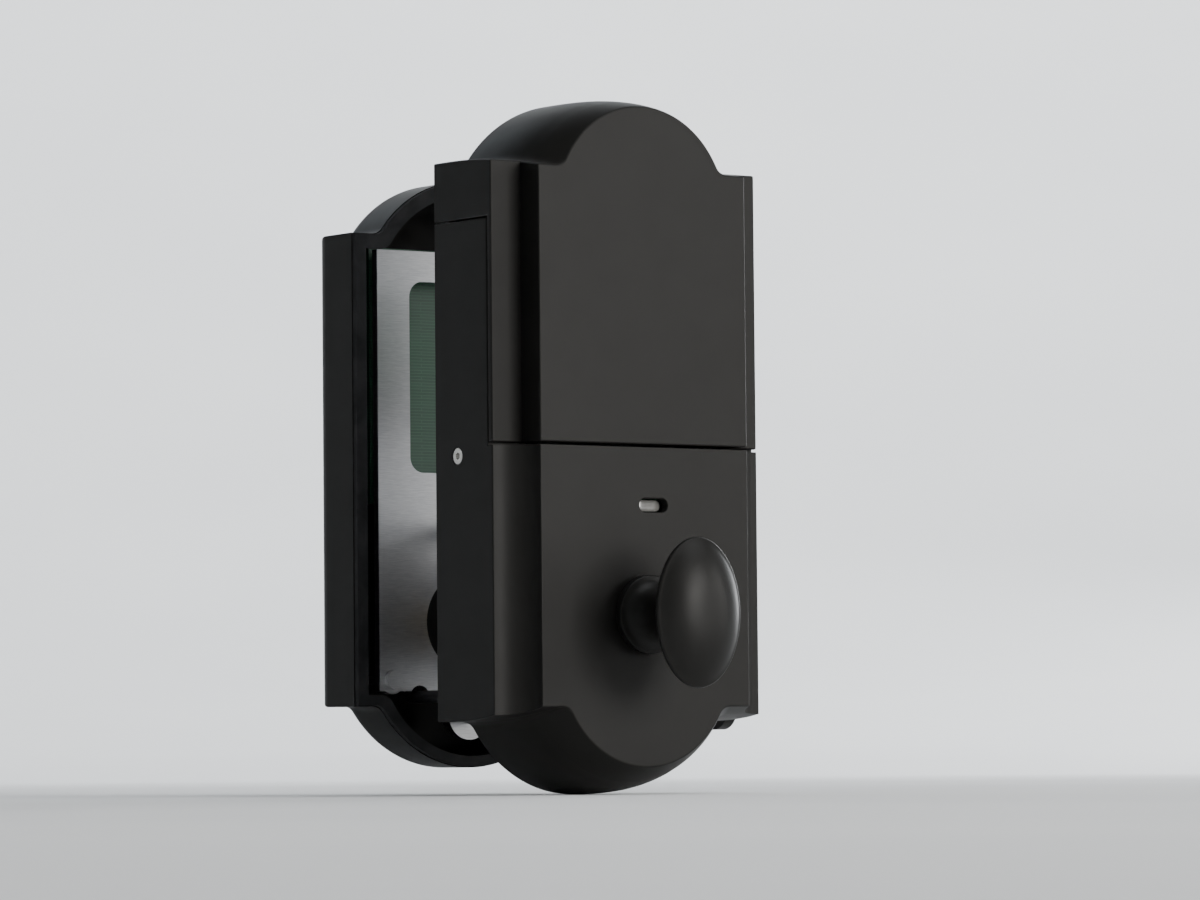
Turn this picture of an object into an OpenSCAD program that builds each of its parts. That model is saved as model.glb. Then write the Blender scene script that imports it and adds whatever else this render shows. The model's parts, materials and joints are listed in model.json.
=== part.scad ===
// Keypad smart lock: a motorised deadbolt with an arched inside unit, an in-door bolt and
// an outside keypad. The origin is on the turn axis, on the inside face of the door.
// +X points to the door's edge and is the way the bolt leaves, +Y points through the door
// to the outside, and +Z is up. All sizes are millimetres.

/* [Door] */
// Thickness of the door that the lock clamps
door_t = 44.5; // [35:0.5:51]
// Backset, from the door's edge to the turn axis
backset = 60.3; // [60.3:0.1:69.9]
// Radius of the cross bore in the door
cross_bore_r = 27; // [26.9:0.1:27.2]
// Radius of the edge bore in the door
edge_bore_r = 12.7; // [12.7:0.1:12.8]

/* [Inside unit] */
// Width of the base against the door
base_w = 82; // [80:0.5:86]
// Width of the raised front face
face_w = 64; // [62:0.5:66]
// Depth from the door to the ledge
ledge_d = 25.5; // [25:0.5:28]
// Depth from the door to the front face
face_d = 33.5; // [33:0.5:36]
// Height of the top shoulder of the base above the turn axis
top_z = 114.4; // [112:0.2:118]
// Height of the base's top apex above the turn axis
top_apex_z = 131.5; // [129:0.5:135]
// Radius of the base's top arch
top_arch_r = 38; // [36:0.5:39]
// Depth of the bottom shoulder of the base below the turn axis
bottom_z = 26.5; // [26:0.5:28]
// Depth of the base's bottom apex below the turn axis
bottom_apex_z = 45; // [44:0.5:46]
// Radius of the base's bottom arch
bottom_arch_r = 35.5; // [34:0.5:37]
// Radius of the arches on the front face
face_arch_r = 26; // [25:0.5:27]
// Height of the split between the battery cover and the lower housing
split_z = 42.5; // [42:0.5:44]
// Height of the side seam where the battery cover wraps round to the door
cap_z = 99; // [96:0.5:102]
// Wall thickness of both shells
wall = 2; // [1.8:0.1:2.2]

/* [Thumbturn] */
// Length of the oval knob, up and down at rest
knob_l = 37.5; // [34:0.5:40]
// Width of the oval knob
knob_w = 25.6; // [22:0.2:26]
// Distance from the front face to the knob's widest plane
knob_reach = 22; // [19:0.5:23]
// Radius of the flared foot of the knob's neck
collar_r = 9.4; // [9:0.1:10.5]
// Radius of the knob's stem
stem_r = 5; // [4.8:0.1:5.2]

/* [Deadbolt] */
// Throw of the bolt
throw = 25.4; // [25.4:0.1:25.4]
// Height of the faceplate
faceplate_h = 57.15; // [57:0.05:57.2]
// Width of the faceplate
faceplate_w = 25.4; // [25:0.1:25.4]
// Distance between the faceplate's screw holes
faceplate_pitch = 41.3; // [41:0.1:42]
// Radius of the faceplate's screw holes
faceplate_hole_r = 2.3; // [2.2:0.1:2.4]

/* [Outside unit] */
// Width of the outside escutcheon
out_w = 72; // [70:0.5:76]
// Depth of the outside escutcheon, gasket included
out_d = 20; // [20:0.5:22]
// Height of its top shoulder above the turn axis
out_top_z = 101; // [100:0.5:104]
// Depth of its bottom shoulder below the turn axis
out_bottom_z = 22; // [21:0.5:23]
// Distance between the columns of keys
key_pitch_x = 16; // [15.5:0.1:16.4]
// Distance between the rows of keys
key_pitch_z = 14.6; // [14:0.1:15]
// Travel of a key
key_travel = 1.2; // [0.8:0.1:1.2]

/* [Hidden] */
$fn = 64;

// front outline of the inside unit
face_top_z = top_z - 2.4;
face_bottom_z = bottom_z - 3.5;
face_top_apex_z = top_apex_z - 3.4;
face_bottom_apex_z = bottom_apex_z - 6.8;
seam = 0.7;                      // gap between battery cover and housing
rim_gap = 0.3;                   // the shell's rim stops this far short of the door
roll_depths = [rim_gap, 8, 15, 21, 26, 30, 32, face_d];   // where the rolled arches are sampled
space_depths = [0, 13, 21, 28, face_d];                   // where the inner space steps in
shelf_z = split_z - seam / 2;     // top of the lower housing
shell_r = 2.2;                   // wall of the cast lower housing
cove_r = base_w / 2 - face_w / 2;

// stack from the door towards the room, as distances from the door
plate_t = 1.6;
chassis_y0 = 1.9;
chassis_y1 = 3.9;
board_y0 = 5.5;
board_y1 = 7.1;
gear_cover_y0 = 22;
gear_cover_y1 = 24;
tray_y0 = 10;
cell_y = 20.5;
cell_r = 7.25;
cell_l = 50.5;
cell_pitch = 15;
tray_w = 31;                     // half width of the tray
cell_z0 = 52.5;
fit = 0.05;                      // radial running clearance

// gear train: module, teeth and widths
TEETH_OUT = 48;
TEETH_SECOND_SMALL = 14;
TEETH_SECOND_LARGE = 40;
TEETH_FIRST_SMALL = 12;
TEETH_FIRST_LARGE = 44;
TEETH_MOTOR = 10;
MOD_OUT = 0.8;
MOD_MID = 0.5;
MOD_FAST = 0.4;
second_r = MOD_OUT * (TEETH_OUT + TEETH_SECOND_SMALL) / 2;
first_r = MOD_MID * (TEETH_SECOND_LARGE + TEETH_FIRST_SMALL) / 2;
motor_r = MOD_FAST * (TEETH_FIRST_LARGE + TEETH_MOTOR) / 2;
second_dir = 50;                 // direction from the turn axis to the second gear
first_dir = 140;                 // direction from the second gear to the first gear
motor_dir = 164;                 // direction from the first gear to the motor
second_at = second_r * [cos(second_dir), sin(second_dir)];
first_at = second_at + first_r * [cos(first_dir), sin(first_dir)];
motor_at = first_at + motor_r * [cos(motor_dir), sin(motor_dir)];
// a gear meshed with one whose tooth stands at angle a needs a tooth at this angle
function mesh_angle(a, dir, n_a, n_b) = dir + 180 - (a - dir) * n_a / n_b - 180 / n_b;
second_phase = mesh_angle(0, second_dir, TEETH_OUT, TEETH_SECOND_SMALL);
first_phase = mesh_angle(second_phase, first_dir, TEETH_SECOND_LARGE, TEETH_FIRST_SMALL);
motor_phase = mesh_angle(first_phase, motor_dir, TEETH_FIRST_LARGE, TEETH_MOTOR);
gear_posts = [[-25, -8], [25, -8], [-24, 30], [25, 34]];
board_posts = [[-29, 52], [29, 52], [-29, 102], [29, 102]];
pin_r = 1;
hub_r = 8;
journal_r = 6;
motor_can_r = 6;
motor_flat = 5;

// through bolts, cable and tailpiece
bolt_z = 24.2;
bolt_r = 2.4;
cable_x = -15.5;
cable_z = -19.5;
cable_r = 1.6;
tail_w = 6.2;
tail_t = 2;
lens_x = 2.5;
lens_z = 27.5;
side_screw_z = 40;
side_screw_y = 9.8;

// deadbolt
mid_y = door_t / 2;
lever_r = throw / 2 / sin(45);
lever_pin_r = 2;
tube_r = edge_bore_r - 0.3;
bolt_round_r = 11.2;
bolt_flat = 7.9;
disc_x = 19;
faceplate_t = 3.2;
slot_play = 0.7;

// outside unit, as distances from the outside face of the door
gasket_t = 1.6;
out_wall = 2;
key_rows = [86, 86 - key_pitch_z, 86 - 2 * key_pitch_z, 86 - 3 * key_pitch_z];
key_w = 12.4;
key_h = 10.6;
key_gap = 0.35;
key_foot = out_d - 5.4;           // distance of a key's flange from the door
out_posts = [[0, 103.5], [-24, -15], [24, -15]];
plug_r = 6.4;
cylinder_r = 13;

BLACK = "#33322f";
STEEL = "#a9abad";
BRASS = "#b08d4a";

// ---------- helpers ----------

// children drawn in x and z become a slab between two distances from the door, on the room's side
module inside(d0, d1) {
    translate([0, -d0, 0]) rotate([90, 0, 0]) linear_extrude(d1 - d0) children();
}

// the same on the outside, measured outwards from the door's outside face
module outside(d0, d1) {
    translate([0, door_t + d1, 0]) rotate([90, 0, 0]) linear_extrude(d1 - d0) children();
}

// a slab in the thickness of the door, between two y values
module through(y0, y1) {
    translate([0, y1, 0]) rotate([90, 0, 0]) linear_extrude(y1 - y0) children();
}

module rect(x0, x1, z0, z1) {
    translate([x0, z0]) square([x1 - x0, z1 - z0]);
}

module round_rect(w, h, r) {
    square([w - 2 * r, h], center = true);
    square([w, h - 2 * r], center = true);
    for (sx = [-1, 1], sz = [-1, 1]) translate([sx * (w / 2 - r), sz * (h / 2 - r)]) circle(r);
}

module at(p) {
    translate([p[0], p[1]]) children();
}

// concave fillet of radius f between a shoulder at height zs and an arch of radius r centred at height zc
module fillet(f, r, zs, zc, side) {
    xf = sqrt(pow(r + f, 2) - pow(zs + f - zc, 2));
    xt = xf * r / (r + f);
    zt = zc + (zs + f - zc) * r / (r + f);
    mirror([side < 0 ? 1 : 0, 0]) difference() {
        polygon([[xt - 2, zs - 1], [xf, zs - 1], [xf, zs], [xt, zt], [xt - 2, zt]]);
        translate([xf, zs + f]) circle(f);
    }
}

// shoulder plus arch, opening upwards; mirrored for the bottom
module arch(w, zs, apex, r, f) {
    zc = apex - r;
    rect(-w / 2, w / 2, 0, zs);
    intersection() {
        translate([0, zc]) circle(r, $fn = 128);
        rect(-r, r, zs - 10, apex + 1);
    }
    for (side = [-1, 1]) fillet(f, r, zs, zc, side);
}

// an arch rolls over towards the front face: its radius and apex at a depth d
function roll(d) = pow(d / face_d, 3);
function roll_r(d, r0) = r0 + (face_arch_r - r0) * roll(d);
function roll_apex(d, apex0, apex1) = apex0 + (apex1 - apex0) * roll(d);
function shoulder(d) = top_z - (top_z - face_top_z) * min(1, d / ledge_d);

module rolled_arch(r0, apex0, apex1, clip_z, sz) {
    intersection() {
        hull() for (d = roll_depths) {
            r = roll_r(d, r0);
            translate([0, -d + 0.02, sz * (roll_apex(d, apex0, apex1) - r)]) rotate([90, 0, 0])
                cylinder(r = r, h = 0.02, $fn = 72);
        }
        translate([-60, -60, sz > 0 ? clip_z : -clip_z - 60]) cube([120, 60, 60]);
    }
}

// involute gear outline, with short teeth and a little backlash
PRESSURE = 25;
function inv_x(rb, a) = rb * (cos(a) + a * PI / 180 * sin(a));
function inv_y(rb, a) = rb * (sin(a) - a * PI / 180 * cos(a));
function inv_at(rb, r) = r <= rb ? 0 : sqrt(pow(r / rb, 2) - 1) * 180 / PI;
function flank(rb, r) = let (a = inv_at(rb, r)) atan2(inv_y(rb, a), inv_x(rb, a));
function polar(r, a) = r * [cos(a), sin(a)];
module gear_outline(m, n, phase, play = 0.08) {
    rp = m * n / 2;
    rb = rp * cos(PRESSURE);
    ra = rp + 0.8 * m;
    rd = rp - 1.1 * m;
    half = 90 / n * (1 - play) + flank(rb, rp);
    radii = [rd, max(rb, rd + 0.01), rp, ra];
    pts = [for (i = [0 : n - 1]) let (mid = phase + i * 360 / n) each concat(
        [for (r = radii) polar(r, mid - half + flank(rb, r))],
        [for (j = [3 : -1 : 0]) polar(radii[j], mid + half - flank(rb, radii[j]))]
    )];
    polygon(pts);
}

// ---------- inside unit ----------

// arches with filleted shoulders in a thin slab, a little smaller than the rolled arch around them
module filleted_slab(d0, d1, w, top, bottom, f) {
    under = 0.3;
    inside(d0, d1) {
        arch(w, top, roll_apex(d1, top_apex_z, face_top_apex_z) - under, roll_r(d1, top_arch_r) - under, f);
        mirror([0, 1]) arch(w, bottom, roll_apex(d1, bottom_apex_z, face_bottom_apex_z) - under,
                            roll_r(d1, bottom_arch_r) - under, f);
    }
}

// outer form of both inside shells
module inside_form() {
    // base block, whose top shoulders fall a little towards the front
    translate([-base_w / 2, 0, 0]) rotate([90, 0, 90]) linear_extrude(base_w)
        polygon([[-rim_gap, -bottom_z], [-ledge_d, -bottom_z], [-ledge_d, face_top_z], [-rim_gap, top_z]]);
    inside(ledge_d - 1, face_d) rect(-face_w / 2, face_w / 2, -face_bottom_z, face_top_z);
    rolled_arch(top_arch_r, top_apex_z, face_top_apex_z, face_top_z - 2, 1);
    rolled_arch(bottom_arch_r, bottom_apex_z, face_bottom_apex_z, face_bottom_z - 2, -1);
    filleted_slab(rim_gap, 10, base_w, shoulder(10), bottom_z, 4);
    filleted_slab(face_d - 2.5, face_d, face_w, face_top_z, face_bottom_z, 3.5);
}

// the two coves between ledge and face, on the lower housing only
module coves() {
    difference() {
        for (s = [-1, 1]) inside(ledge_d - 0.01, face_d)
            translate([s * (base_w + face_w) / 4, (shelf_z - face_bottom_z) / 2])
                square([cove_r + 0.02, shelf_z + face_bottom_z], center = true);
        for (s = [-1, 1]) translate([s * base_w / 2, -ledge_d - cove_r, -50])
            cylinder(r = cove_r, h = 120, $fn = 96);
    }
}

// inner space of both shells, drawn with wall thickness t
module inside_space(t) {
    inside(0, ledge_d - t) rect(-base_w / 2 + t, base_w / 2 - t, -bottom_z + t, face_top_z - t);
    inside(0, face_d - t) rect(-face_w / 2 + t, face_w / 2 - t, -face_bottom_z + t, face_top_z - t);
    for (i = [1 : len(space_depths) - 1]) {
        d = space_depths[i];
        r0 = roll_r(d, top_arch_r);
        r1 = roll_r(d, bottom_arch_r);
        inside(space_depths[i - 1], min(d, face_d - t)) {
            translate([0, roll_apex(d, top_apex_z, face_top_apex_z) - r0]) circle(r0 - t);
            translate([0, r1 - roll_apex(d, bottom_apex_z, face_bottom_apex_z)]) circle(r1 - t);
        }
    }
}

module interior_housing() {
    color(BLACK) difference() {
        union() {
            difference() {
                intersection() {
                    union() {
                        inside_form();
                        coves();
                    }
                    union() {
                        inside(0, face_d + 1) rect(-50, 50, -60, shelf_z);
                        inside(0, ledge_d - 2) rect(-50, 50, -60, cap_z);
                    }
                }
                inside_space(shell_r);
            }
            // shelf that closes the gear space below the batteries
            inside(tray_y0 - 1, face_d - 0.5) rect(-face_w / 2 + 1, face_w / 2 - 1, shelf_z - 2, shelf_z);
            inside(16, ledge_d - 2) rect(-base_w / 2 + 1, base_w / 2 - 1, shelf_z - 2, shelf_z);
        }
        // thumbturn bush, indicator slot and side screws
        inside(face_d - 5, face_d + 1) circle(7);
        inside(face_d - 5, face_d + 1) translate([lens_x, lens_z])
            hull() for (s = [-1, 1]) translate([s * 2.6, 0]) circle(1.7, $fn = 24);
        translate([-50, -side_screw_y, side_screw_z]) rotate([0, 90, 0]) cylinder(r = 2.1, h = 100);
    }
}

module battery_cover() {
    color(BLACK) difference() {
        intersection() {
            inside_form();
            union() {
                inside(ledge_d - 1.8, face_d + 1) rect(-50, 50, split_z + seam / 2, 140);
                inside(0, face_d + 1) rect(-50, 50, cap_z + 0.3, 140);
            }
        }
        inside_space(wall);
    }
}

module mounting_plate() {
    color(STEEL) difference() {
        union() {
            inside(0, plate_t) {
                rect(-37.5, 37.5, -22, 106);
                translate([0, -10]) circle(30);
            }
            // tapped side tabs for the housing's screws
            for (s = [-1, 1]) inside(plate_t, 15) rect(s > 0 ? 36 : -37.5, s > 0 ? 37.5 : -36, 34, 46);
        }
        inside(-1, 2) {
            circle(10);
            for (s = [-1, 1]) translate([0, s * bolt_z]) circle(2.7);
            translate([cable_x, cable_z]) circle(3);
            translate([0, 72]) round_rect(44, 40, 4);
        }
        translate([-50, -side_screw_y, side_screw_z]) rotate([0, 90, 0]) cylinder(r = 1.55, h = 100);
    }
}

module side_screws() {
    // head, shank and hexagon socket, drawn along +Z and turned to face each side
    color(STEEL) for (s = [-1, 1]) translate([0, -side_screw_y, side_screw_z]) rotate([0, s * 90, 0])
        difference() {
            union() {
                translate([0, 0, base_w / 2 - 1.2]) cylinder(r = 2, h = 1);
                translate([0, 0, 35]) cylinder(r = 1.5, h = base_w / 2 - 36.1);
            }
            translate([0, 0, base_w / 2 - 0.9]) cylinder(r = 0.95, h = 2, $fn = 6);
        }
}

module chassis() {
    color("#55575a") difference() {
        union() {
            inside(chassis_y0, chassis_y1) {
                rect(-35.5, 35.5, -21, 108);
                translate([0, -10]) circle(28);
            }
            // board bosses and gear cover posts
            for (p = board_posts) inside(chassis_y1, board_y0) at(p) circle(2.6);
            for (p = gear_posts) inside(chassis_y1, gear_cover_y0) at(p) circle(2.8);
            // pad under the motor
            inside(chassis_y1, 5) at(motor_at) rect(-motor_can_r, -1.5, -1, motor_flat - 0.5);
            // tray legs
            for (x = [-34, 34], z = [60, 98]) inside(chassis_y1, tray_y0) at([x, z]) rect(-1.4, 1.4, -5, 5);
        }
        inside(1, 23) {
            circle(journal_r + fit);
            for (p = board_posts) at(p) circle(1);
            for (p = gear_posts) at(p) circle(1);
        }
        inside(1, 5) {
            for (s = [-1, 1]) translate([0, s * bolt_z]) circle(5.5);
            translate([cable_x, cable_z]) circle(3);
            at(first_at) circle(pin_r);
            at(second_at) circle(pin_r);
            translate([0, 77]) round_rect(44, 30, 4);
        }
    }
}

module battery_tray() {
    z0 = cell_z0 - 4.5;
    z1 = cell_z0 + cell_l + 3.5;
    color("#3d3f42") difference() {
        inside(tray_y0, ledge_d - wall - 0.5) rect(-tray_w, tray_w, z0, z1);
        for (i = [-1.5 : 1.5]) translate([i * cell_pitch, -cell_y, z0 + 1.5])
            cylinder(r = cell_r + 0.1, h = z1 - z0 - 3);
        // the front is open, so the cells lift out
        inside(cell_y, cell_y + 6) rect(-28.2, 28.2, z0 + 1.5, z1 - 1.5);
    }
    // flanges that rest on the chassis legs
    color("#3d3f42") inside(tray_y0, cell_y) for (s = [-1, 1])
        translate([s * (tray_w + 2.2), (z0 + z1) / 2]) square([4.4, z1 - z0 - 6], center = true);
}

module batteries() {
    color("#8e9296") for (i = [0 : 3]) {
        up = i % 2 == 0;
        translate([(i - 1.5) * cell_pitch, -cell_y, cell_z0 + (up ? 0 : 1.5)]) {
            cylinder(r = cell_r, h = cell_l - 1.5);
            translate([0, 0, up ? cell_l - 1.5 : -1.5]) cylinder(r = 2.7, h = 1.5);
        }
    }
}

module battery_contacts() {
    leaf_t = 0.4;
    z0 = cell_z0 - 3;
    z1 = cell_z0 + cell_l + 2;
    color(STEEL) for (i = [0 : 3]) {
        up = i % 2 == 0;
        x = (i - 1.5) * cell_pitch;
        // contact leaf at each end, a conical spring against the flat end of the cell
        // and a pressed bump against its nub
        below = cell_z0 - z0 - leaf_t;
        above = z1 - leaf_t - cell_z0 - cell_l;
        for (z = [z0, z1 - leaf_t]) translate([x - 5, -cell_y - 4.5, z]) cube([10, 9, leaf_t]);
        translate([x, -cell_y, up ? z0 + leaf_t : cell_z0 + cell_l]) spring_stack(up ? below : above, up);
        translate([x, -cell_y, up ? cell_z0 + cell_l : z0 + leaf_t])
            cylinder(r = 2, h = up ? above : below);
    }
}

// a conical coil spring as a stack of rings
module spring_stack(h, wide_first) {
    n = 3;
    step = h / n;
    for (i = [0 : n - 1]) {
        r = wide_first ? 4 - i * 0.7 : 2.6 + i * 0.7;
        translate([0, 0, i * step]) difference() {
            cylinder(r = r, h = step);
            translate([0, 0, -0.1]) cylinder(r = r - 0.9, h = step + 0.2);
        }
    }
}

module main_board() {
    color("#1f4d33") difference() {
        inside(board_y0, board_y1) rect(-32, 32, 48, 106);
        inside(board_y0 - 1, board_y1 + 1) {
            for (p = board_posts) at(p) circle(1.3);
        }
    }
}

module board_components() {
    color("#1c1c1e") {
        inside(board_y1, board_y1 + 1.2) rect(-8, 8, 70, 86);
        inside(board_y1, board_y1 + 1) rect(14, 22, 74, 80);
        inside(board_y1, board_y1 + 2) rect(-24, -16, 90, 98);
        inside(board_y1, board_y1 + 2.4) translate([22, 92]) circle(3);
        inside(board_y1, board_y1 + 2.4) translate([22, 62]) circle(3);
        // sockets along the lower edge for the outside cable and the motor lead
        inside(chassis_y1 + 0.5, 8.2) rect(cable_x - 5, cable_x + 5, 44.2, 48);
        inside(chassis_y1 + 0.5, 8.2) rect(4, 12, 44.2, 48);
    }
}

module board_screws() {
    color(STEEL) for (p = board_posts) {
        inside(board_y1, board_y1 + 1.4) at(p) circle(1.8);
        inside(chassis_y1 - 1, board_y1) at(p) circle(1);
    }
}

module motor_can() {
    color(STEEL) {
        inside(5, 17) at(motor_at) intersection() {
            circle(motor_can_r);
            rect(-motor_can_r, motor_can_r, -motor_flat, motor_flat);
        }
        inside(17, 17.6) at(motor_at) difference() {
            circle(2.2);
            circle(0.6);
        }
    }
}

module motor_pinion() {
    color(BRASS) inside(18, 21) at(motor_at) difference() {
        gear_outline(MOD_FAST, TEETH_MOTOR, motor_phase);
        circle(0.5, $fn = 24);
    }
    color(STEEL) inside(17.2, 21.4) at(motor_at) circle(0.5, $fn = 24);
}

module first_gear() {
    color("#d8d6cf") difference() {
        union() {
            inside(13.9, 18.2) at(first_at) gear_outline(MOD_MID, TEETH_FIRST_SMALL, first_phase);
            inside(18.2, 20.8) at(first_at) gear_outline(MOD_FAST, TEETH_FIRST_LARGE, first_phase);
        }
        inside(12, 22) at(first_at) circle(pin_r + fit);
    }
}

module second_gear() {
    color("#d8d6cf") difference() {
        union() {
            inside(7.6, 14.2) at(second_at) gear_outline(MOD_OUT, TEETH_SECOND_SMALL, second_phase);
            inside(14.2, 17.4) at(second_at) gear_outline(MOD_MID, TEETH_SECOND_LARGE, second_phase);
        }
        inside(6, 19) at(second_at) circle(pin_r + fit);
    }
}

module gear_pins() {
    color(STEEL) inside(chassis_y0 + 0.2, gear_cover_y1 - 0.5)
        for (p = [first_at, second_at]) at(p) circle(pin_r);
}

module output_gear() {
    color("#c9c6bb") difference() {
        union() {
            inside(8, 13) difference() {
                gear_outline(MOD_OUT, TEETH_OUT, 0);
                for (a = [30 : 60 : 330]) translate(13 * [cos(a), sin(a)]) circle(3);
            }
            inside(chassis_y1 + 0.3, gear_cover_y0 - 0.3) circle(hub_r);
            inside(1.7, gear_cover_y1 + 0.4) circle(journal_r);
        }
        inside(1, 12.2) rect(-tail_t / 2 - 0.1, tail_t / 2 + 0.1, -tail_w / 2 - 0.1, tail_w / 2 + 0.1);
        inside(14.4, 26) circle(stem_r);
    }
}

module gear_cover() {
    color("#55575a") difference() {
        inside(gear_cover_y0, gear_cover_y1) {
            hull() for (p = gear_posts) at(p) circle(3.2, $fn = 32);
            circle(12);
        }
        inside(gear_cover_y0 - 1, gear_cover_y1 + 1) {
            circle(journal_r + fit);
            for (p = gear_posts) at(p) circle(1.3);
            at(first_at) circle(pin_r);
            at(second_at) circle(pin_r);
            translate([-9, 12]) circle(3);
        }
    }
}

module gear_cover_screws() {
    color(STEEL) for (p = gear_posts) {
        inside(gear_cover_y1, gear_cover_y1 + 1.4) at(p) circle(2);
        inside(gear_cover_y0 - 8, gear_cover_y1) at(p) circle(1);
    }
}

// oval disc of the knob's outline, scaled by k about its centre
module knob_slice(d, k, drop) {
    translate([0, -d, 0]) rotate([90, 0, 0]) linear_extrude(0.05)
        scale([(knob_w / 2 - drop) / 10 * k, (knob_l / 2 - drop) / 10 * k]) circle(10, $fn = 56);
}

module thumbturn() {
    rim = face_d + knob_reach;
    color(BLACK) {
        hull() {
            knob_slice(rim - 5.5, 0.42, 0);
            knob_slice(rim - 2.4, 0.86, 0);
            knob_slice(rim, 1, 0);
            knob_slice(rim + 1.6, 0.97, 0);
            knob_slice(rim + 3.4, 0.8, 0);
            knob_slice(rim + 4.6, 0.5, 0);
            knob_slice(rim + 5, 0.2, 0);
        }
        // flared neck, then the stem that enters the gear hub
        translate([0, -face_d - 0.3, 0]) rotate([90, 0, 0]) rotate_extrude() difference() {
            square([collar_r, knob_reach - 3]);
            translate([collar_r + 1.4, 9.4]) circle(collar_r - 3.5);
            translate([5, 9.4]) square([20, 20]);
            translate([collar_r - 0.6, 0]) rotate(-45) square([3, 3], center = true);
        }
        inside(14.5, face_d + 0.4) circle(stem_r);
    }
}

module turn_bush() {
    color("#d8d6cf") difference() {
        union() {
            inside(face_d - 2.2, face_d) circle(7);
            inside(face_d - 3.6, face_d - 2.2) circle(9.5);
        }
        inside(20, 40) circle(stem_r + fit);
    }
}

module turn_clip() {
    color(STEEL) inside(face_d - 5, face_d - 4.2) difference() {
        circle(8);
        circle(stem_r);
    }
}

module tailpiece() {
    color(STEEL) through(-12, door_t + 6.5) rect(-tail_t / 2, tail_t / 2, -tail_w / 2, tail_w / 2);
}

module indicator_lens() {
    color("#e6e6e0") inside(face_d - 6.3, face_d - 0.2) translate([lens_x, lens_z])
        hull() for (s = [-1, 1]) translate([s * 2.5, 0]) circle(1.5, $fn = 24);
}

module indicator_board() {
    color("#1f4d33") {
        inside(25.5, 26.7) rect(-9, 9, 22.5, 34);
        inside(26.7, 27.0) translate([lens_x, lens_z]) square([3, 1.6], center = true);
        inside(gear_cover_y1, 25.5) for (s = [-1, 1]) rect(s * 7 - 1.2, s * 7 + 1.2, 30.5, 33);
    }
}

module position_switch() {
    color("#1c1c1e") inside(chassis_y1, 10) rect(-27.5, -21.5, 0, 14);
    color(STEEL) inside(8.4, 9.6) rect(-21.5, -20.4, 2, 12);
}

module through_bolts() {
    color(STEEL) for (s = [-1, 1]) translate([0, 0, s * bolt_z]) {
        difference() {
            inside(plate_t, plate_t + 3) circle(4.6);
            inside(plate_t + 1.4, plate_t + 4) for (a = [0, 90]) rotate(a) square([5, 1], center = true);
        }
        through(-plate_t, door_t + 8) circle(bolt_r);
    }
}

// the keypad's cable, held all the way between the two boards
module cable_harness() {
    out_y = door_t + 6.2;
    in_y = -5.8;
    color("#202022") {
        translate([cable_x, out_y, cable_z]) rotate([90, 0, 0]) cylinder(r = cable_r, h = out_y - in_y);
        translate([cable_x, out_y, cable_z]) sphere(cable_r);
        translate([cable_x, out_y, cable_z]) cylinder(r = cable_r, h = 31 - cable_z);
        translate([cable_x, in_y, cable_z]) sphere(cable_r);
        translate([cable_x, in_y, cable_z]) cylinder(r = cable_r, h = 44.2 - cable_z);
    }
}

// ---------- deadbolt in the door ----------

module along_x(x0, x1) {
    translate([x0, mid_y, 0]) rotate([90, 0, 90]) linear_extrude(x1 - x0) children();
}

module bolt_section(grow) {
    intersection() {
        circle(bolt_round_r + grow);
        square([2 * (bolt_flat + grow), 40], center = true);
    }
}

module bolt_faceplate() {
    color(BLACK) difference() {
        along_x(backset - faceplate_t, backset) round_rect(faceplate_w, faceplate_h, 6.3);
        along_x(backset - 10, backset + 1) {
            bolt_section(0.35);
            for (s = [-1, 1]) translate([0, s * faceplate_pitch / 2]) circle(faceplate_hole_r);
        }
        for (s = [-1, 1]) translate([backset - 1.5, mid_y, s * faceplate_pitch / 2]) rotate([0, 90, 0])
            cylinder(r1 = faceplate_hole_r, r2 = faceplate_hole_r + 1.9, h = 1.6);
    }
}

module bolt_tube() {
    color(STEEL) along_x(disc_x + 1.4, backset - faceplate_t) difference() {
        circle(tube_r);
        circle(tube_r - 0.8);
    }
}

module bolt_frame() {
    color(STEEL) {
        for (y = [-6.8, 5.2]) through(mid_y + y, mid_y + y + 1.6) difference() {
            intersection() {
                rect(-21.4, disc_x, -12, 20.3);
                circle(cross_bore_r - 1);
            }
            circle(journal_r + fit);
        }
        through(mid_y - 5.4, mid_y + 5.4) rect(-21.4, -20, -10, 12);
        along_x(disc_x - 0.2, disc_x + 1.4) difference() {
            circle(tube_r);
            translate([0, 7.25]) square([9.8, 7.5], center = true);
            square([9.8, 6], center = true);
        }
    }
}

module bolt_cam() {
    color(BRASS) difference() {
        union() {
            through(mid_y - 7, mid_y + 7) circle(journal_r);
            through(mid_y - 4.9, mid_y + 4.9) circle(7.2);
            through(mid_y - 2, mid_y + 2) rotate(135) {
                translate([0, -3.4]) square([lever_r, 6.8]);
                translate([lever_r, 0]) circle(lever_pin_r + 1.2);
            }
        }
        through(mid_y - 8, mid_y + 8) square([tail_t + 0.2, tail_w + 0.2], center = true);
        through(mid_y - 3, mid_y + 3) rotate(135) translate([lever_r, 0]) circle(lever_pin_r);
    }
}

module cam_pin() {
    color(STEEL) through(mid_y - 4.6, mid_y + 4.6) rotate(135) translate([lever_r, 0]) circle(lever_pin_r);
}

module deadbolt() {
    slot_x = lever_r * cos(135);
    slot_w = lever_pin_r + slot_play;
    color(STEEL) {
        difference() {
            along_x(24, backset - 0.1) bolt_section(0);
            along_x(30, backset - 6) circle(3.2);
        }
        // fork: two bars over the cam's hub, each with an upright slot for the cam's pin
        for (y = [-4.4, 2.6]) through(mid_y + y, mid_y + y + 1.8) difference() {
            union() {
                rect(-18, 24, 7.9, 10.6);
                rect(slot_x - 5.3, slot_x + 5.3, 7.9, 19);
            }
            rect(slot_x - slot_w, slot_x + slot_w, 9.6, 30);
        }
    }
}

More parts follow.
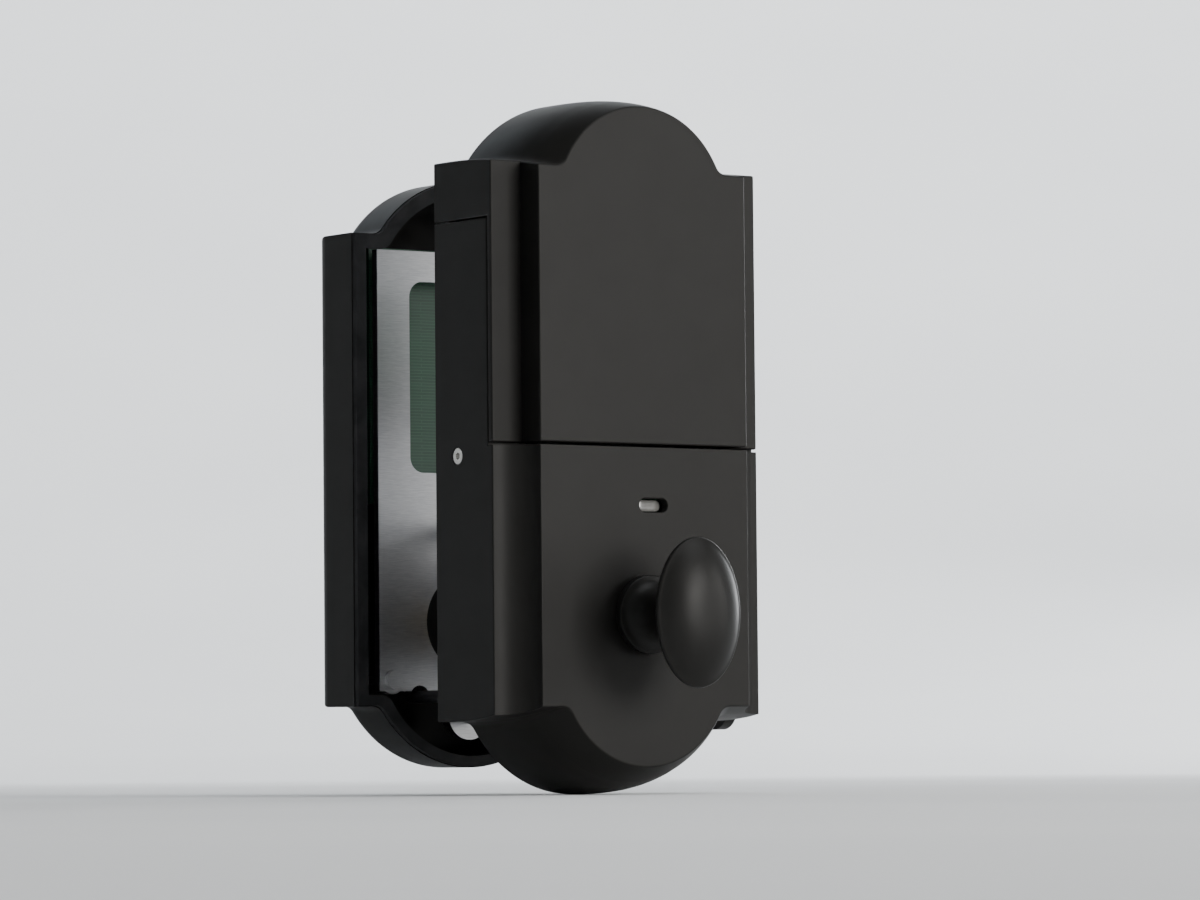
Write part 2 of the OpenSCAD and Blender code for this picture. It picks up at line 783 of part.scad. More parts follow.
module hardened_pin() {
    color("#77797c") along_x(30, backset - 6.5) circle(3.15);
}

// ---------- outside unit ----------

module out_outline(w, up, down, r) {
    arch(w, up, up + 15, r, 4);
    mirror([0, 1]) arch(w, down, down + 16, r, 4);
}

module weather_gasket() {
    color("#232325") outside(0, gasket_t) difference() {
        out_outline(out_w - 0.6, out_top_z - 0.3, out_bottom_z - 0.3, 33);
        out_outline(out_w - 7, out_top_z - 4, out_bottom_z - 3, 29.5);
    }
}

module exterior_escutcheon() {
    color(BLACK) difference() {
        union() {
            outside(gasket_t, out_d - 6) out_outline(out_w, out_top_z, out_bottom_z, 33);
            // rounded front edge, in steps that draw in faster towards the front
            for (k = [1 : 4]) outside(out_d - 7.5 + 1.5 * k - 0.01, out_d - 6 + 1.5 * k)
                out_outline(out_w - 0.7 * k * k, out_top_z - 0.35 * k, out_bottom_z - 0.35 * k,
                            33 - 0.35 * k * k);
        }
        difference() {
            outside(gasket_t - 1, out_d - out_wall) {
                rect(-out_w / 2 + 6.4, out_w / 2 - 6.4, -out_bottom_z + 3, out_top_z - 3);
                translate([0, out_top_z + 15 - 33]) circle(26);
                translate([0, -out_bottom_z - 16 + 33]) circle(26);
            }
            for (p = out_posts) outside(4, out_d) at(p) circle(3.2);
        }
        outside(3, out_d - 1) for (p = out_posts) at(p) circle(1.2);
        outside(out_d - 3, out_d + 1) translate([0, (key_rows[0] + key_rows[3]) / 2]) round_rect(52, 62, 6);
        outside(out_d - 3, out_d + 1) circle(cylinder_r);
    }
}

module exterior_back_plate() {
    color(STEEL) difference() {
        union() {
            outside(gasket_t + 0.2, 4) {
                rect(-28, 28, -18, 97);
                rect(-4.5, 4.5, 96, 103.5);
                for (p = out_posts) at(p) circle(3.8);
                translate([0, -bolt_z]) circle(6.5);
            }
            for (s = [-1, 1]) outside(3.8, 9) translate([0, s * bolt_z]) circle(4.2);
        }
        outside(0, 10) {
            for (s = [-1, 1]) translate([0, s * bolt_z]) circle(bolt_r);
            circle(cylinder_r + 0.2);
            translate([cable_x, cable_z]) circle(3);
            translate([0, 64]) round_rect(36, 50, 4);
        }
        outside(0, 5) for (p = out_posts) at(p) circle(1.6);
    }
}

module exterior_screws() {
    color(STEEL) for (p = out_posts) {
        outside(gasket_t - 1.2, gasket_t + 0.2) at(p) circle(2.4);
        outside(gasket_t + 0.2, 12) at(p) circle(1.2);
    }
}

module each_key() {
    for (r = [0 : 3], c = [-1 : 1]) translate([c * key_pitch_x, key_rows[r]]) children();
}

module keypad_frame() {
    mid_z = (key_rows[0] + key_rows[3]) / 2;
    color("#1d1d1e") difference() {
        union() {
            outside(out_d - out_wall, out_d + 1.2) translate([0, mid_z]) round_rect(51.8, 61.8, 5.9);
            outside(out_d - out_wall - 1.8, out_d - out_wall) translate([0, mid_z]) round_rect(55, 66, 4);
        }
        outside(out_d - 5, out_d + 2) each_key() round_rect(key_w + 2 * key_gap, key_h + 2 * key_gap, 2.6);
    }
}

module key_cap(i) {
    r = floor(i / 3);
    c = i % 3 - 1;
    // seen from outside the columns run from +X to -X
    color("#d9d9d4") translate([-c * key_pitch_x, 0, key_rows[r]]) {
        outside(out_d - 4, out_d + 2.6) round_rect(key_w, key_h, 2.3);
        outside(key_foot, out_d - 4) round_rect(key_w + 1.6, key_h + 1.6, 2);
    }
}
module key_1() { key_cap(0); }
module key_2() { key_cap(1); }
module key_3() { key_cap(2); }
module key_4() { key_cap(3); }
module key_5() { key_cap(4); }
module key_6() { key_cap(5); }
module key_7() { key_cap(6); }
module key_8() { key_cap(7); }
module key_9() { key_cap(8); }
module key_lock() { key_cap(9); }
module key_0() { key_cap(10); }
module key_enter() { key_cap(11); }

module keypad_mat() {
    mid_z = (key_rows[0] + key_rows[3]) / 2;
    color("#6f7072") {
        outside(9.6, 11) translate([0, mid_z]) round_rect(52, 60, 3);
        // one dome under each key, just short of the key when it is pressed home
        outside(11, key_foot - key_travel - 0.5) each_key() circle(3.4);
    }
}

module keypad_board() {
    color("#1f4d33") outside(8, 9.6) rect(-26.5, 26.5, 31, 98);
    color("#1c1c1e") outside(4.2, 8) rect(cable_x - 5, cable_x + 5, 31, 36);
}

module cylinder_body() {
    color(STEEL) difference() {
        union() {
            outside(3, out_d) circle(cylinder_r);
            outside(out_d, out_d + 2) circle(15.5);
        }
        outside(2, out_d + 3) circle(plug_r + fit);
    }
}

module cylinder_plug() {
    color(BRASS) difference() {
        union() {
            outside(3.2, out_d + 1.6) circle(plug_r);
            outside(2, 3.3) circle(5);
        }
        outside(1, 8) circle(4);
        outside(9, out_d + 2) {
            rect(-1, 1, -4.6, 3.6);
            rect(-1.7, 1, -1, 1);
        }
    }
}

module plug_clip() {
    color(STEEL) outside(2, 2.8) difference() {
        circle(8);
        circle(5);
    }
}

mounting_plate();
interior_housing();
battery_cover();
chassis();
battery_tray();
batteries();
battery_contacts();
main_board();
board_components();
motor_can();
motor_pinion();
first_gear();
second_gear();
gear_pins();
output_gear();
gear_cover();
gear_cover_screws();
board_screws();
thumbturn();
turn_bush();
turn_clip();
tailpiece();
indicator_lens();
indicator_board();
position_switch();
side_screws();
through_bolts();
cable_harness();
bolt_faceplate();
bolt_tube();
bolt_frame();
bolt_cam();
cam_pin();
deadbolt();
hardened_pin();
weather_gasket();
exterior_escutcheon();
exterior_back_plate();
exterior_screws();
keypad_frame();
keypad_mat();
keypad_board();
cylinder_body();
cylinder_plug();
plug_clip();
key_1();
key_2();
key_3();
key_4();
key_5();
key_6();
key_7();
key_8();
key_9();
key_lock();
key_0();
key_enter();
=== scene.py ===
"""Looks of the keypad smart lock: smooth shells, knob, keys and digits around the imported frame."""
import json
from math import atan2, cos, pi, radians, sin, sqrt

import bmesh
import bpy
from mathutils import Matrix, Vector


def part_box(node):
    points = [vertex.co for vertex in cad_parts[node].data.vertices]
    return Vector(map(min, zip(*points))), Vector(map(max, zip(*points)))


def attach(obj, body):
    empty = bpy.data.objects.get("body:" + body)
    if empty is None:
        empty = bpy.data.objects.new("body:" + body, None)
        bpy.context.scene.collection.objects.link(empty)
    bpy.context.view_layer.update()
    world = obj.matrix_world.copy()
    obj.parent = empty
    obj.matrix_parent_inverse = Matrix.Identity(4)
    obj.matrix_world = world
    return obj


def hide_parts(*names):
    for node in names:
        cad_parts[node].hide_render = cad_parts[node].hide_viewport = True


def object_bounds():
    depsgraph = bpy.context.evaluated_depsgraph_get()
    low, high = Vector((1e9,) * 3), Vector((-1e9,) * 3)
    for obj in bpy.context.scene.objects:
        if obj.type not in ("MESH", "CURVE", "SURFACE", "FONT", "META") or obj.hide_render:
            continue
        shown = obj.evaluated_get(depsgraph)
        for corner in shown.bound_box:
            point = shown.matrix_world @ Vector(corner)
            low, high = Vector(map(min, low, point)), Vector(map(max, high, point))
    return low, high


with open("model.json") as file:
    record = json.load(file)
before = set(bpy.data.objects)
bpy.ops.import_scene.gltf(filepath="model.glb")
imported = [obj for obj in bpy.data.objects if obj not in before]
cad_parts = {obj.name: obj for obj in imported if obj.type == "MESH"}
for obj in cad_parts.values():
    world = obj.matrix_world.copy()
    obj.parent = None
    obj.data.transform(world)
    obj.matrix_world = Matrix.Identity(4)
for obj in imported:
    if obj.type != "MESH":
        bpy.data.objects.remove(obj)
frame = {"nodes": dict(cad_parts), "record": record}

MM = 0.001
cad_low, cad_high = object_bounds()

# ---------- sizes in millimetres, read from the frame where it has them ----------

housing_low, housing_high = (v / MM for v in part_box("interior_housing"))
cover_top = (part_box("battery_cover")[1] / MM).z
escutcheon_low, escutcheon_high = (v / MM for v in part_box("exterior_escutcheon"))
knob_low, knob_high = (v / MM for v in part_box("thumbturn"))
slot_low, slot_high = (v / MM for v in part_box("indicator_lens"))
door_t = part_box("weather_gasket")[0].y / MM

base_w = housing_high.x            # half width of the base
face_w = 32                        # half width of the raised face
face_d = -housing_low.y            # distance from the door to the face
ledge_d = face_d - 8               # distance from the door to the ledges beside the face
rim_d = -housing_high.y            # the rim stops short of the door
split_low = 42.15                  # the gap between housing and cover
split_high = 42.85
cap_low = housing_high.z           # the side seam below the cover's cap
cap_high = cap_low + 0.3
wrap_d = ledge_d - 1.8             # the cover's ledge wraps this far back
wall = 2
over = 2                           # cutters that hollow a shell start this far behind it
wide = 60                          # past the inside unit on both sides and below
tall = 140                         # past the inside unit above
slot_x = (slot_low.x + slot_high.x) / 2
slot_z = (slot_low.z + slot_high.z) / 2
knob_a = knob_high.x               # half width and half height of the knob's oval head
knob_b = knob_high.z
knob_rim_d = -knob_low.y - 5.05


def mix(a, b, k):
    """The value a fraction k of the way from a to b."""
    return a + (b - a) * k


def steps(a, b, n):
    """n even values from a to b, both included."""
    return [mix(a, b, i / (n - 1)) for i in range(n)]


# ---------- meshes ----------

def room(x, z, d):
    """A point on the room's side, at distance d from the door."""
    return Vector((x, -d, z))


def street(x, z, e):
    """A point on the outside, at distance e from the door's outside face."""
    return Vector((x, door_t + e, z))


def loft(bm, rings, end=True):
    """Closed rings with equal counts, joined by quads, capped at the first and maybe the last."""
    loops = [[bm.verts.new(p) for p in ring] for ring in rings]
    count = len(loops[0])
    for a, b in zip(loops, loops[1:]):
        for i in range(count):
            j = (i + 1) % count
            bm.faces.new((a[i], a[j], b[j], b[i]))
    bm.faces.new(list(reversed(loops[0])))
    if end:
        bm.faces.new(loops[-1])
    return loops


def tidy(bm, gap=1e-4):
    """Welds points closer than the gap and turns all faces outward."""
    bmesh.ops.remove_doubles(bm, verts=bm.verts, dist=gap)
    bmesh.ops.dissolve_degenerate(bm, edges=bm.edges, dist=gap)
    bmesh.ops.recalc_face_normals(bm, faces=bm.faces)


def add_object(name, data):
    """An object of the scene for a mesh, curve, light or camera."""
    obj = bpy.data.objects.new(name, data)
    bpy.context.scene.collection.objects.link(obj)
    return obj


def mesh_object(name, bm):
    """An object made of a bmesh, which is then freed."""
    mesh = bpy.data.meshes.new(name)
    bm.to_mesh(mesh)
    bm.free()
    return add_object(name, mesh)


def scratch(bm):
    """A helper object for booleans, removed after use."""
    tidy(bm)
    return mesh_object("scratch", bm)


def carve(bm, cutters):
    """Applies (operation, bmesh) pairs in turn and returns the result as a bmesh."""
    weld_gap, flat_angle, fewest_faces = 2e-3, 0.05, 20
    obj = scratch(bm)
    helpers = []
    for operation, cutter in cutters:
        helper = scratch(cutter)
        helpers.append(helper)
        modifier = obj.modifiers.new("cut", "BOOLEAN")
        modifier.operation = operation
        modifier.solver = "EXACT"
        modifier.object = helper
    bpy.context.view_layer.update()
    evaluated = obj.evaluated_get(bpy.context.evaluated_depsgraph_get())
    result = bmesh.new()
    result.from_mesh(evaluated.to_mesh())
    assert len(result.faces) > fewest_faces, "a boolean came out empty"
    for used in [obj] + helpers:
        mesh = used.data
        bpy.data.objects.remove(used)
        bpy.data.meshes.remove(mesh)
    tidy(result, weld_gap)
    bmesh.ops.dissolve_limit(result, angle_limit=radians(flat_angle),
                             verts=result.verts, edges=result.edges)
    return result


def prism(points, place_at, low, high):
    """An outline swept between two values of the third coordinate that place_at() takes."""
    bm = bmesh.new()
    loft(bm, [[place_at(a, b, c) for a, b in points] for c in (low, high)])
    bmesh.ops.recalc_face_normals(bm, faces=bm.faces)
    return bm


def box_bm(low, high):
    """A plain box between two corners."""
    corners = [(low[0], low[1]), (high[0], low[1]), (high[0], high[1]), (low[0], high[1])]
    return prism(corners, lambda a, b, c: Vector((a, b, c)), low[2], high[2])


def disc(r, n, at=(0, 0)):
    """A circle of n points."""
    return [(at[0] + r * cos(2 * pi * i / n), at[1] + r * sin(2 * pi * i / n)) for i in range(n)]


def stadium(half, r, at=(0, 0)):
    """Two half circles of radius r whose centres lie half to the right and left."""
    return [(at[0] + side * half + r * cos(a), at[1] + r * sin(a))
            for side, first in ((1, -pi / 2), (-1, pi / 2)) for a in steps(first, first + pi, 13)]


def round_rect(w, h, r, n, at):
    """Rounded rectangle of full width w and height h, anticlockwise."""
    points = []
    for k, (sx, sz) in enumerate(((1, 1), (-1, 1), (-1, -1), (1, -1))):
        for a in steps(k * pi / 2, (k + 1) * pi / 2, n):
            points.append((at[0] + sx * (w / 2 - r) + r * cos(a),
                           at[1] + sz * (h / 2 - r) + r * sin(a)))
    return points


def soften(bm, wanted, width):
    """Rounds the sharp convex edges whose middle satisfies wanted(point)."""
    sharp = radians(40)
    edges = []
    for edge in bm.edges:
        if len(edge.link_faces) != 2 or not edge.is_convex:
            continue
        middle = (edge.verts[0].co + edge.verts[1].co) / 2
        if edge.calc_face_angle(0) > sharp and wanted(middle):
            edges.append(edge)
    bmesh.ops.bevel(bm, geom=edges, offset=width, offset_type="OFFSET", segments=3,
                    profile=0.5, affect="EDGES", clamp_overlap=False)


def place(name, bm, body, material, replaced=(), angle=32):
    """Turns a mesh in millimetres into a piece that rides on a body."""
    bmesh.ops.scale(bm, vec=(MM, MM, MM), verts=bm.verts)
    obj = mesh_object(name, bm)
    obj.data.materials.append(material)
    shade(obj, angle)
    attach(obj, body)
    if replaced:
        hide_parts(*replaced)


def shade(obj, angle):
    """Smooth shading with crisp edges, and flat faces that stay flat."""
    obj.data.polygons.foreach_set("use_smooth", [True] * len(obj.data.polygons))
    obj.data.set_sharp_from_angle(angle=radians(angle))
    weighted = obj.modifiers.new("weighted", "WEIGHTED_NORMAL")
    weighted.keep_sharp = True


# ---------- materials ----------

class Surface:
    """A Principled material with its noise set up from object coordinates."""

    def __init__(self, name, metallic=0.0, specular=0.5, coat=0.0, coat_rough=0.1):
        self.material = bpy.data.materials.new(name)
        self.material.use_nodes = True
        self.nodes = self.material.node_tree.nodes
        self.links = self.material.node_tree.links
        self.shader = self.nodes["Principled BSDF"]
        self.shader.inputs["Metallic"].default_value = metallic
        self.shader.inputs["Specular IOR Level"].default_value = specular
        self.shader.inputs["Coat Weight"].default_value = coat
        self.shader.inputs["Coat Roughness"].default_value = coat_rough
        self.where = self.nodes.new("ShaderNodeTexCoord")

    def noise(self, scale, detail, stretch=(1, 1, 1), distortion=0.0):
        """A noise value, with its scale per metre."""
        mapping = self.nodes.new("ShaderNodeMapping")
        mapping.inputs["Scale"].default_value = stretch
        self.links.new(self.where.outputs["Object"], mapping.inputs["Vector"])
        node = self.nodes.new("ShaderNodeTexNoise")
        node.inputs["Scale"].default_value = scale
        node.inputs["Detail"].default_value = detail
        node.inputs["Distortion"].default_value = distortion
        self.links.new(mapping.outputs["Vector"], node.inputs["Vector"])
        return node.outputs["Fac"]

    def colour(self, source, dark, light, low=0.3, high=0.7):
        """Base colour from dark to light as the source goes from low to high."""
        ramp = self.nodes.new("ShaderNodeValToRGB")
        ramp.color_ramp.elements[0].position = low
        ramp.color_ramp.elements[1].position = high
        ramp.color_ramp.elements[0].color = (*dark, 1)
        ramp.color_ramp.elements[1].color = (*light, 1)
        self.links.new(source, ramp.inputs["Fac"])
        self.links.new(ramp.outputs["Color"], self.shader.inputs["Base Color"])

    def roughness(self, source, low, high):
        """Roughness from low to high over the middle of a noise source."""
        span = self.nodes.new("ShaderNodeMapRange")
        span.inputs["From Min"].default_value = 0.3
        span.inputs["From Max"].default_value = 0.7
        span.inputs["To Min"].default_value = low
        span.inputs["To Max"].default_value = high
        self.links.new(source, span.inputs["Value"])
        self.links.new(span.outputs["Result"], self.shader.inputs["Roughness"])

    def bump(self, source, strength, distance):
        """Relief from the source, with its distance in metres."""
        node = self.nodes.new("ShaderNodeBump")
        node.inputs["Strength"].default_value = strength
        node.inputs["Distance"].default_value = distance
        self.links.new(source, node.inputs["Height"])
        self.links.new(node.outputs["Normal"], self.shader.inputs["Normal"])


def painted(name, dark, light, rough):
    """Satin powder-coat: faint mottling and a fine orange-peel."""
    s = Surface(name, specular=0.13)
    s.colour(s.noise(55, 6), dark, light)
    s.roughness(s.noise(140, 5), rough - 0.015, rough + 0.02)
    s.bump(s.noise(2600, 3), strength=0.12, distance=0.00002)
    return s.material


def brushed(name, dark, light, rough, stretch=(1, 1, 30)):
    """Metal with fine lines along the axes whose stretch is 1."""
    s = Surface(name, metallic=1.0)
    lines = s.noise(420, 6, stretch)
    s.colour(lines, dark, light)
    s.roughness(lines, rough - 0.06, rough + 0.08)
    s.bump(s.noise(900, 3, stretch), strength=0.15, distance=0.00001)
    return s.material


def plastic(name, dark, light, rough, grain=3000, strength=0.1, specular=0.5):
    """Moulded plastic with a faint spark-eroded grain and flow mottling."""
    s = Surface(name, specular=specular)
    s.colour(s.noise(90, 5, distortion=0.4), dark, light)
    s.roughness(s.noise(300, 3), rough - 0.04, rough + 0.05)
    s.bump(s.noise(grain, 2), strength, distance=0.00002)
    return s.material


def circuit_board():
    """Green solder mask with faint tracks under it."""
    s = Surface("board_mask", specular=0.6)
    mapping = s.nodes.new("ShaderNodeMapping")
    mapping.inputs["Rotation"].default_value = (radians(90), 0, 0)
    s.links.new(s.where.outputs["Object"], mapping.inputs["Vector"])
    tracks = s.nodes.new("ShaderNodeTexBrick")
    tracks.offset = 0.37
    tracks.inputs["Scale"].default_value = 330
    tracks.inputs["Mortar Size"].default_value = 0.04
    tracks.inputs["Brick Width"].default_value = 3.4
    tracks.inputs["Row Height"].default_value = 0.27
    tracks.inputs["Color1"].default_value = (0.009, 0.060, 0.028, 1)
    tracks.inputs["Color2"].default_value = (0.012, 0.073, 0.034, 1)
    tracks.inputs["Mortar"].default_value = (0.019, 0.100, 0.046, 1)
    s.links.new(mapping.outputs["Vector"], tracks.inputs["Vector"])
    s.links.new(tracks.outputs["Color"], s.shader.inputs["Base Color"])
    s.roughness(s.noise(500, 3), 0.28, 0.4)
    s.bump(tracks.outputs["Fac"], strength=0.3, distance=0.00003)
    return s.material


def cell_sleeve():
    """Printed sleeve: graphite with a copper band at each cell's positive end."""
    cells, cell_d = 4, 14.5
    band_from = 0.014              # the band starts this far from the cell's middle, in metres
    s = Surface("cell_print", metallic=0.4)
    low, high = (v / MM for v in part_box("batteries"))
    split = s.nodes.new("ShaderNodeSeparateXYZ")
    s.links.new(s.where.outputs["Object"], split.inputs["Vector"])

    def math(operation, a, b):
        node = s.nodes.new("ShaderNodeMath")
        node.operation = operation
        for socket, value in zip(node.inputs, (a, b)):
            if isinstance(value, float):
                socket.default_value = value
            else:
                s.links.new(value, socket)
        return node.outputs["Value"]

    # which cell a point is on, then 0 or 1 by turns, then +1 or -1
    pitch = (high.x - low.x - cell_d) / (cells - 1)
    along = math("SUBTRACT", split.outputs["X"], low.x * MM)
    index = math("FLOOR", math("DIVIDE", along, pitch * MM), 0.0)
    turn = math("SUBTRACT", 1.0, math("MULTIPLY", math("MODULO", index, 2.0), 2.0))
    from_middle = math("SUBTRACT", split.outputs["Z"], (low.z + high.z) / 2 * MM)
    band = math("GREATER_THAN", math("MULTIPLY", from_middle, turn), band_from)
    s.colour(band, (0.018, 0.019, 0.022), (0.42, 0.17, 0.06), 0.45, 0.55)
    s.roughness(s.noise(300, 4), 0.26, 0.38)
    s.bump(s.noise(1500, 2), strength=0.05, distance=0.00001)
    return s.material


def lens_milk():
    """Translucent guide, grey while its light is off."""
    s = Surface("lens_milk", specular=0.8, coat=1.0, coat_rough=0.05)
    s.colour(s.noise(700, 2), (0.13, 0.128, 0.122), (0.17, 0.167, 0.158))
    s.roughness(s.noise(500, 2), 0.12, 0.2)
    return s.material


paint = painted("satin_black", (0.0092, 0.0088, 0.0081), (0.0104, 0.0100, 0.0092), 0.46)
knob_paint = painted("knob_black", (0.0092, 0.0089, 0.0083), (0.0104, 0.0101, 0.0094), 0.39)
steel = brushed("zinc_steel", (0.42, 0.42, 0.43), (0.60, 0.60, 0.60), 0.34)
bolt_steel = brushed("brushed_bolt", (0.40, 0.39, 0.37), (0.56, 0.55, 0.53), 0.28, (1, 30, 30))
bright_steel = brushed("bright_screw_steel", (0.55, 0.54, 0.52), (0.75, 0.74, 0.71), 0.22,
                       (1, 1, 1))
brass = brushed("turned_brass", (0.62, 0.42, 0.16), (0.80, 0.58, 0.27), 0.27, (30, 1, 30))
grey_plastic = plastic("grey_moulding", (0.045, 0.047, 0.05), (0.065, 0.067, 0.07), 0.52)
dark_plastic = plastic("dark_moulding", (0.018, 0.019, 0.021), (0.028, 0.029, 0.031), 0.5)
black_plastic = plastic("black_moulding", (0.006, 0.006, 0.0065), (0.011, 0.011, 0.0115), 0.42)
white_plastic = plastic("acetal", (0.58, 0.56, 0.50), (0.68, 0.66, 0.60), 0.38, strength=0.05)
key_plastic = plastic("key_white", (0.55, 0.55, 0.53), (0.64, 0.64, 0.61), 0.33, strength=0.06)
digit_ink = plastic("digit_ink", (0.012, 0.012, 0.014), (0.02, 0.02, 0.022), 0.45)
mask = circuit_board()
sleeve = cell_sleeve()
lens = lens_milk()
cable_skin = plastic("cable_jacket", (0.008, 0.008, 0.009), (0.014, 0.014, 0.015), 0.5)
foam = plastic("gasket_foam", (0.012, 0.012, 0.013), (0.03, 0.03, 0.031), 0.85,
               grain=1800, strength=0.5, specular=0.25)
silicone = plastic("mat_silicone", (0.10, 0.105, 0.11), (0.15, 0.155, 0.16), 0.6)

CAD_LOOKS = {
    "painted_metal_body": paint, "painted_metal_cover": paint, "painted_metal_knob": knob_paint,
    "steel": steel, "bolt_steel": bolt_steel, "bright_screw": bright_steel, "brass": brass,
    "grey_plastic": grey_plastic, "dark_plastic": dark_plastic, "black_plastic": black_plastic,
    "white_plastic": white_plastic, "circuit_board": mask, "cell_sleeve": sleeve, "lens": lens,
    "cable": cable_skin, "gasket_rubber": foam, "mat_rubber": silicone, "key_rubber": key_plastic,
}


def dress_cad_nodes():
    """Gives each CAD node the material of its slot."""
    slots = {part["node"]: part["material_slot"] for part in frame["record"]["subparts"]}
    for name, obj in frame["nodes"].items():
        obj.data.materials.clear()
        obj.data.materials.append(CAD_LOOKS[slots[name]])
        obj.data.polygons.foreach_set("material_index", [0] * len(obj.data.polygons))


# ---------- the inside unit's shells ----------

# each end's arch at the door and at the face: heights of its shoulder and apex, its radius r
# and the radius f of the fillet between arch and shoulder
TOP = {"shoulder": (114.4, 112.0), "apex": (cover_top, cover_top - 3.4),
       "r": (38.0, 26.0), "f": (4.0, 3.5)}
BOTTOM = {"shoulder": (26.5, 23.0), "apex": (-housing_low.z, -housing_low.z - 6.8),
          "r": (35.5, 26.0), "f": (4.0, 3.5)}
FACE_ROLL = 3          # the arches roll over towards the face with the cube of the depth


def arch_half(w, shoulder, apex, r, f, inner):
    """From the crown of an arch out over its fillet to the shoulder's corner, as (x, z)."""
    zc = apex - r
    xf = sqrt((r + f) ** 2 - (shoulder + f - zc) ** 2)
    start = atan2(shoulder + f - zc, xf)
    points = [(r * cos(a), zc + r * sin(a)) for a in steps(pi / 2, start, 30)]
    points += [(xf + f * cos(b), shoulder + f + f * sin(b))
               for b in steps(start + pi, 1.5 * pi, 9)][1:]
    points += [(x, shoulder) for x in steps(xf, max(inner, xf + 1), 4)][1:]
    return [(min(x, w), z) for x, z in points] + [(w, shoulder)]


def both_arches(w, top, bottom, inner):
    """Closed outline of a unit: the top arch, and the bottom arch upside down."""
    right = arch_half(w, *top, inner)
    right += [(x, -z) for x, z in reversed(arch_half(w, *bottom, inner))]
    left = [(-x, z) for x, z in reversed(right)][1:-1]
    return right + left


def inside_ring(d, w, t):
    """Outline of the inside unit at depth d with half width w, drawn in by t."""
    k = max(0, d / face_d) ** FACE_ROLL
    ends = []
    for end in (TOP, BOTTOM):
        values = {key: mix(*pair, k) for key, pair in end.items()}
        ends.append((values["shoulder"] - t, values["apex"] - t, values["r"] - t, values["f"] + t))
    return [room(x, z, d) for x, z in both_arches(w - t, ends[0], ends[1], face_w - t)]


def inside_form(t=0.0, start=rim_d, cove=False):
    """Solid form of the inside unit, drawn in by t; with a cove or a step beside the face."""
    ledge, face = ledge_d - t, face_d - t
    base = steps(start, 12, 4) + [15, 18, 20.5, 22.5, ledge]
    rings = [inside_ring(d, base_w, t) for d in base]
    if cove:
        for a in steps(0, pi / 2, 15)[1:]:
            rings.append(inside_ring(ledge_d + (face_d - ledge_d) * (1 - cos(a)),
                                     base_w - (base_w - face_w) * sin(a), t))
    else:
        rings += [inside_ring(d, face_w, t) for d in steps(ledge, face, 9)]
    bm = bmesh.new()
    loft(bm, rings)
    tidy(bm)
    return bm


def depth_prism(points):
    """A block across the whole unit with the given outline in depth and height."""
    return prism(points, lambda d, z, x: room(x, z, d), -wide, wide)


def hole(points, near, far):
    """A cutter of the given outline between two distances from the door."""
    return prism(points, lambda x, z, d: room(x, z, d), near, far)


def outer_edge(p):
    """True on the visible outside of the inside unit, away from its rim at the door."""
    near = 0.02
    d, x = -p.y, abs(p.x)
    on_side = abs(x - base_w) < near
    on_wall = abs(x - face_w) < near and d > ledge_d - near
    on_ledge = abs(d - ledge_d) < near and x > face_w - near
    on_face = abs(d - face_d) < near
    return d > rim_d + 0.1 and (on_side or on_wall or on_ledge or on_face)


def make_battery_cover():
    """Upper shell, open below, whose ledge and cap wrap over the housing's sides."""
    behind, before = -1, 40        # depths past the unit's back and front
    kept = [(behind, cap_high), (wrap_d, cap_high), (wrap_d, split_high),
            (before, split_high), (before, tall), (behind, tall)]
    bm = carve(inside_form(), [
        ("DIFFERENCE", inside_form(wall, start=-over)),
        ("INTERSECT", depth_prism(kept)),
    ])
    soften(bm, outer_edge, 0.45)
    place("battery_cover_shell", bm, "battery_lid", paint,
          ["battery_cover"])


def make_housing():
    """Lower shell with coved sides, a lip under the cover and holes for knob, lens and screws."""
    behind, before, gap = -1, 40, 0.2
    lip_low = split_low - 2        # a lip closes the shell below the seam with the cover
    knob_hole_r, screw_hole_r = 7, 2.1
    near, far = face_d - 5, face_d + 1
    low, high = (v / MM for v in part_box("side_screws"))
    screw_axis = ((low.y + high.y) / 2, (low.z + high.z) / 2)
    kept = [(behind, -wide), (before, -wide), (before, split_low), (wrap_d - gap, split_low),
            (wrap_d - gap, cap_low), (behind, cap_low)]
    bm = carve(inside_form(cove=True), [
        ("DIFFERENCE", inside_form(wall + gap, start=-over)),
        ("INTERSECT", depth_prism(kept)),
        ("UNION", box_bm((-face_w + 1, -face_d + 1, lip_low), (face_w - 1, -9, split_low))),
        ("UNION", box_bm((-base_w + 1, -wrap_d + 0.5, lip_low), (base_w - 1, -16, split_low))),
        ("DIFFERENCE", hole(disc(knob_hole_r, 64), near, far)),
        ("DIFFERENCE", hole(stadium(2.6, 1.7, (slot_x, slot_z)), near, far)),
        ("DIFFERENCE", prism(disc(screw_hole_r, 32, screw_axis),
                             lambda y, z, x: Vector((x, y, z)), -50, 50)),
    ])
    soften(bm, outer_edge, 0.35)
    place("lower_housing_shell", bm, "root", paint,
          ["interior_housing"])


def make_lens():
    """Light guide, set back in its slot."""
    outline = stadium(2.5, 1.5)
    front = face_d - 2.6
    profile = ((1, face_d - 6.2), (1, front - 0.4), (0.93, front - 0.12), (0.7, front),
               (0.3, front + 0.1))
    bm = bmesh.new()
    loft(bm, [[room(slot_x + x * k, slot_z + z * k, d) for x, z in outline] for k, d in profile])
    tidy(bm)
    place("indicator_light_guide", bm, "root", lens, ["indicator_lens"])


# ---------- thumbturn ----------

